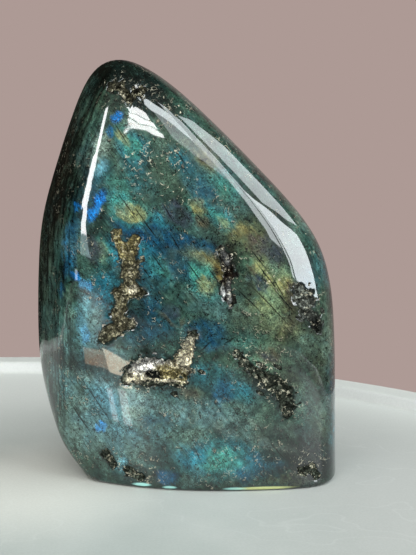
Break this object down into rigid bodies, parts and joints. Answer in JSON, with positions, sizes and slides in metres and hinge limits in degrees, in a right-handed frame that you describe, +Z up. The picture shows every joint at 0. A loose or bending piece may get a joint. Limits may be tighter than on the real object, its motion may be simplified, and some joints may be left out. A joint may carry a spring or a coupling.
{
  "type": "freestanding polished stone",
  "caption": "Tall freeform of polished labradorite with softly ground facets, rough pits and a sawn flat base.",
  "frame": {"origin": "on the flat base, under the middle of the stone's bounding box", "axes": "+Z up, from the base to the crown; +X to the right of the broad front; the broad front looks along -Y"},
  "size_m": [0.0896, 0.0378, 0.1211],
  "materials": {
    "labradorite": "polished"
  },
  "bodies": {
    "root": {"labradorite_stone": "labradorite"}
  },
  "joints": []
}
